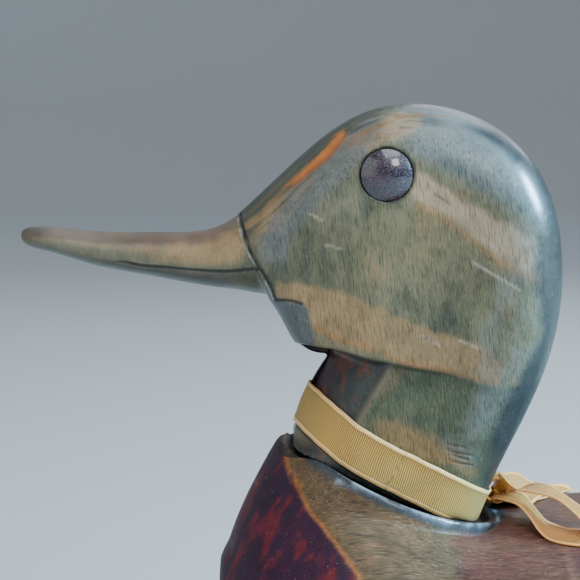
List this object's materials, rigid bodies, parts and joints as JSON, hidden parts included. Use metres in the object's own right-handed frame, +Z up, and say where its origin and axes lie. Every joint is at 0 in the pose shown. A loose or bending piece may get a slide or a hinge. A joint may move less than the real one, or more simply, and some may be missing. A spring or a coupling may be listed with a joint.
{
  "type": "duck decoy",
  "caption": "Floating wooden duck decoy with a long slender bill, glass eyes, a ribbon bow at the neck and a weighted keel.",
  "frame": {"origin": "under the middle of the decoy's bounding box, on the flat bottom of its keel", "axes": "+Z up, the bill points along -Y and the tail along +Y, the duck's left side is +X"},
  "size_m": [0.1451, 0.3559, 0.1855],
  "materials": {
    "painted_head": "satin olive and tan stain over pine, sealed",
    "painted_body": "satin maroon brown stain over pine, sealed",
    "painted_keel": "satin dark stain over pine",
    "bare_wood": "bare hardwood dowel",
    "eye_glass": "polished dark maroon glass",
    "eye_putty": "dull set putty",
    "organza": "sheer gold organza with satin edges",
    "brass_screw": "satin brass, slightly dull",
    "zinc_steel": "zinc plated",
    "ballast_iron": "rough cast, blackened",
    "leather_washer": "oiled leather",
    "seam_caulk": "matt cured caulk"
  },
  "bodies": {
    "body": {"body_upper": "painted_body", "body_lower": "painted_body", "keel": "painted_keel", "locating_dowels": "bare_wood", "body_screws": "brass_screw", "keel_screws": "brass_screw", "ballast_screws": "brass_screw", "line_eye": "brass_screw", "ballast_weight": "ballast_iron", "seat_washer": "leather_washer", "seam_seal": "seam_caulk"},
    "head": {"head": "painted_head", "eye_left": "eye_glass", "eye_right": "eye_glass", "eye_bed_left": "eye_putty", "eye_bed_right": "eye_putty", "neck_bolt": "zinc_steel", "thrust_washer": "zinc_steel", "tension_spring": "zinc_steel", "lock_nut": "zinc_steel", "ribbon_band": "organza", "ribbon_knot": "organza", "ribbon_loops": "organza", "ribbon_tails": "organza"},
    "ring": {"line_ring": "brass_screw"}
  },
  "joints": [
    {"name": "head_swivel", "type": "hinge", "parent": "body", "child": "head", "pos_m": [0, -0.0976, 0.1006], "axis": [0, 0.4067, 0.9135], "range_deg": [-45, 45], "deforming": ["ribbon_loops", "ribbon_tails"]},
    {"name": "ring_swing", "type": "hinge", "parent": "body", "child": "ring", "pos_m": [0, -0.0996, 0.0171], "axis": [1, 0, 0], "range_deg": [-80, 50]}
  ]
}
